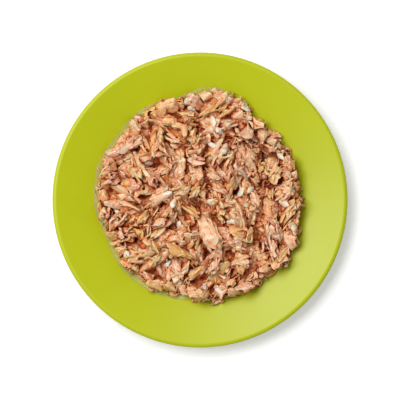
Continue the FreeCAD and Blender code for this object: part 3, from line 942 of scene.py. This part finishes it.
def juice_film():
    """Rings along the outline: flat below, above a flat top that rounds off to the lip as sqrt(1 - u**6).

    The film reaches past the outline by FILM_WIDE times waves along the edge, and thins to nothing at both ends."""
    along = np.linspace(0, 1, FILM_RINGS)
    angle = FILM_FROM + (FILM_TO - FILM_FROM) * along
    fade = np.clip(np.minimum(along, 1 - along) / FILM_FADES, 0.02, 1) ** 0.5
    waves = 1 + 0.45 * np.sin(9 * angle + 1) + 0.35 * np.sin(17 * angle + 2) + 0.15 * np.sin(41 * angle)
    reach = outline(angle) + FILM_WIDE * waves * fade
    half = FILM_SIDES // 2
    u = np.concatenate([np.linspace(-1, 1, half), np.linspace(1, -1, FILM_SIDES - half + 2)[1:-1]])
    over = np.arange(FILM_SIDES) >= half
    radius = (reach - FILM_INSIDE)[:, None] + FILM_INSIDE * (u + 1) / 2
    dome = np.where(over, np.sqrt(1 - np.clip(u, -0.999, 0.999) ** 6), 0)
    x, y = radius * np.cos(angle)[:, None], radius * np.sin(angle)[:, None]
    z = dish(x, y) + FILM_BOTTOM + FILM_THICK * dome * fade[:, None]
    outward = np.stack(np.broadcast_arrays((u + 1) / 2, along[:, None]), -1)
    return with_poles(np.stack([x, y, z], -1)), np.concatenate([outward.reshape(-1, 2), [[0, 0], [0, 1]]])


film_points, film_outward = juice_film()
print("juice reaches", mm(np.hypot(film_points[:, 0], film_points[:, 1]).max()), "mm from the middle")

# %% [markdown]
# ## The finish of the meat
#
# Cooked meat is pink to tan, paler where a fibre's ridge or a torn edge has dried, and redder where it is moist. The
# colour also carries painted light and shade: paler on the upper side of each shred, redder on its lower side, and
# browner the deeper a point lies in the heap. Fine fibres run along each shred, so they are drawn in the shred's own
# grain, while the mottling and the small brown flecks run through the whole heap. Being moist, it lets light in and
# glints.

# %% Cooked meat
PINKS = (0.99, 0.73, 0.57), (0.99, 0.77, 0.55)
GOLDS = (0.98, 0.78, 0.49), (0.97, 0.69, 0.29)
# The last two are tints: a moist red, which also paints shade on the lower side of each shred, and a brown that
# paints shade in crevices.
HERBS, MOIST_AND_SHADE_RED, CREVICE_SHADE = (0.50, 0.30, 0.08), (0.89, 0.35, 0.18), (0.67, 0.33, 0.17)

meat, meat_shader = new_finish(
    "cooked_meat", Subsurface_Weight=0.4, Subsurface_Scale=1.3 * MM, Subsurface_Radius=(1.0, 0.35, 0.18),
    Specular_IOR_Level=0.4, Coat_Weight=0.25, Coat_Roughness=0.14)
place = add(meat, "TexCoord").outputs["Object"]
along_fibres = add(meat, "UVMap", {"uv_map": "grain"}).outputs["UV"]
stretched = add(meat, "Mapping", Vector=along_fibres, Scale=(0.06, 0.52, 1.0)).outputs["Vector"]
streaks = noise(meat, stretched, 1.6, 3.0, 0.6)
mottle = noise(meat, place, 380, 3.0, 0.6)

# The dry colour: each point's own hue, with mottling and flecks
traits = add(meat, "SeparateColor", Color=add(meat, "Attribute", {"attribute_name": "traits"}).outputs["Color"])
hue, dry_and_lit_pale, hidden = traits.outputs
hue = calculate(meat, "ADD", hue, calculate(meat, "MULTIPLY_ADD", mottle, 1.2, -0.6))
colour = ramp(meat, hue, (0.05, *PINKS[0]), (0.3, *PINKS[1]), (0.5, *GOLDS[0]), (0.7, *GOLDS[1]),
              (0.92, *GOLDS[1]), (1.0, *HERBS))
fleck = ramp(meat, noise(meat, place, 1300, 2.0), (0.32, 1, 1, 1), (0.37, 0, 0, 0))
colour = blend_colours(meat, calculate(meat, "MULTIPLY", fleck, 0.7), colour, (*HERBS, 1))

# Two tints over it. The first, a moist red, grows from 0 on a dry ridge to about 1 in the grooves between fibres, and
# since it follows the paleness it is also painted shade on the lower side of each shred. The second, a brown, grows
# as hidden**4, so it shows only in crevices: it is painted shade, standing in for light that bounces between moist
# walls and loses its blue and green before its red.
crevice_shade_power = calculate(meat, "MULTIPLY", calculate(meat, "POWER", hidden, 4.0), 4.2)
moist_and_shaded = calculate(meat, "MULTIPLY_ADD", dry_and_lit_pale, -0.7, 0.58)
moist_and_shaded = calculate(meat, "ADD", moist_and_shaded, rescale(meat, streaks, 0.85, 0.0, 0.34, 0.50))
moist_and_shaded = calculate(meat, "MAXIMUM", moist_and_shaded, 0.0)
for tint, power in ((MOIST_AND_SHADE_RED, moist_and_shaded), (CREVICE_SHADE, crevice_shade_power)):
    tint = add(meat, "Gamma", Color=(*tint, 1), Gamma=power).outputs["Color"]
    colour = blend_colours(meat, 1.0, colour, tint, "MULTIPLY")
wire(meat, colour, meat_shader, "Base Color")
wire(meat, rescale(meat, mottle, 0.26, 0.5), meat_shader, "Roughness")
relief = add(meat, "Bump", Height=streaks, Strength=0.8, Distance=0.5 * MM)
relief = add(meat, "Bump", Height=noise(meat, place, 650, 3.0, 0.65), Strength=0.45, Distance=0.5 * MM,
             Normal=relief.outputs["Normal"])
wire(meat, relief.outputs["Normal"], meat_shader, "Normal")

# %% [markdown]
# ## The finish of the rice
#
# Boiled rice is off-white, clouded where the starch is thicker, and moist, so it has a smooth coat over fine bumps.

# %% Boiled rice
boiled_rice, rice_shader = new_finish(
    "boiled_rice", Subsurface_Weight=0.1, Subsurface_Scale=0.8 * MM, Subsurface_Radius=(1.0, 0.8, 0.6),
    Roughness=0.32, Specular_IOR_Level=0.5, Coat_Weight=0.3, Coat_Roughness=0.15)
place = add(boiled_rice, "TexCoord").outputs["Object"]
starch = ramp(boiled_rice, noise(boiled_rice, place, 500, 3.0), (0.3, 0.86, 0.72, 0.54), (0.65, 0.98, 0.88, 0.72))
wire(boiled_rice, starch, rice_shader, "Base Color")
relief = add(boiled_rice, "Bump", Height=noise(boiled_rice, place, 900, 2.0), Strength=0.3, Distance=0.3 * MM)
wire(boiled_rice, relief.outputs["Normal"], rice_shader, "Normal")

# %% [markdown]
# ## The finish of the juice
#
# Meat juice is clear but for a trace of fat and starch. Most light goes straight through to the glaze, a little is
# clouded, and the smooth surface mirrors the softbox. So the film is pale and mostly see-through, by its alpha. Along
# its lip the alpha rises, which paints a thin pale line there: a painted highlight.

# %% Clear juice
clear_juice, juice_shader = new_finish("clear_juice", Roughness=0.12, IOR=1.35)
place = add(clear_juice, "TexCoord").outputs["Object"]
cloudy = noise(clear_juice, place, 260, 2.0)
body = ramp(clear_juice, cloudy, (0.3, 0.90, 0.70, 0.55), (0.7, 0.95, 0.80, 0.70))
wire(clear_juice, body, juice_shader, "Base Color")
outward = add(clear_juice, "UVMap", {"uv_map": "grain"}).outputs["UV"]
outward = add(clear_juice, "SeparateXYZ", Vector=outward).outputs["X"]
# A higher alpha along the lip shows the film's pale colour as a thin line there: a painted highlight.
painted_lip_highlight = rescale(clear_juice, outward, 0.0, 0.3, 0.86, 0.97)
haze = rescale(clear_juice, cloudy, 0.03, 0.12, 0.3, 0.7)
wire(clear_juice, calculate(clear_juice, "ADD", haze, painted_lip_highlight), juice_shader, "Alpha")

# %% [markdown]
# ## How hidden each point is
#
# Little sky reaches a point deep between two chunks. The finished map tells how much: in a dozen directions, the
# steepest slope up to the heap's surface is the horizon, and the sky above it counts with the square of its cosine.
# A point under another shred has the sky covered right above it too. The meat's finish turns this share into painted
# shade.

# %% Hidden from the sky
WAYS = 12
DISTANCES = np.array([1, 2, 3.5, 5.5, 8]) * MM
COVER_DEPTH, COVER_SHARE = 2.5 * MM, 0.7


def hidden_share(points):
    """1 less the mean over all directions of cos(horizon)**2, and more where other shreds lie right above."""
    x, y, z = np.moveaxis(points, -1, 0)
    sky = np.zeros_like(z)
    for way in np.arange(WAYS) * 2 * np.pi / WAYS:
        steepest = np.zeros_like(z)
        for distance in DISTANCES:
            rise = look_up(level, x + distance * np.cos(way), y + distance * np.sin(way)) - z
            np.maximum(steepest, rise / distance, out=steepest)
        sky += 1 / (1 + steepest**2)
    cover = np.clip((look_up(level, x, y) - z) / COVER_DEPTH, 0, 1)
    return 1 - sky / WAYS * (1 - COVER_SHARE * cover)


# %% [markdown]
# ## The pieces
#
# Now that the heap is finished, all the shreds of one kind become one piece, and so does the mash. The mash counts as
# a little less hidden than the map says, or the painted shade in its gaps would come out too dark.

# %% The pieces
MASH_HIDDEN = 0.85


def piece_of(name, kind, finish):
    """One piece from all the shreds of a kind, once the finished heap says how hidden each point is."""
    points, grain, traits = (np.array(part) for part in (kind.points, kind.grain, kind.traits))
    traits[..., 2] = hidden_share(points)
    piece = mesh_piece(name, points, *tube_faces(kind.rings, kind.sides), finish, grain, traits)
    print(name, len(kind.points), "shreds,", sum(len(p.vertices) - 2 for p in piece.data.polygons), "triangles")
    return piece


mash_traits[:, 2] = MASH_HIDDEN * hidden_share(mash_points)
mash_faces = tube_faces(MASH_BELOW + MASH_ABOVE, MASH_SECTORS)
kinds = {
    "meat_chunks": chunks, "flakes_pink": pink_flakes, "flakes_salmon": salmon_flakes, "flakes_tan": tan_flakes,
    "strands_pink": pink_strands, "strands_tan": tan_strands, "meat_fibres": fibres, "meat_crumbs": crumbs,
}
shreds = [piece_of(name, kind, meat) for name, kind in kinds.items()]
mash = mesh_piece("meat_mash", mash_points[None], *mash_faces, meat, mash_grain, mash_traits)
grains = piece_of("rice_grains", rice, boiled_rice)
film_faces = tube_faces(FILM_RINGS, FILM_SIDES)
film = mesh_piece("juice_film", film_points[None], *film_faces, clear_juice, film_outward)

# %% [markdown]
#
# The pieces together stand for the CAD heap, which is hidden. They ride on the one rigid body.

# %% Attach to the body
slots = [(piece, "cooked_meat") for piece in [*shreds, mash]] + [(grains, "cooked_rice"), (film, "clear_juice")]
for piece, finish_slot in slots:
    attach(piece, "root")
    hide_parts("shredded_food")
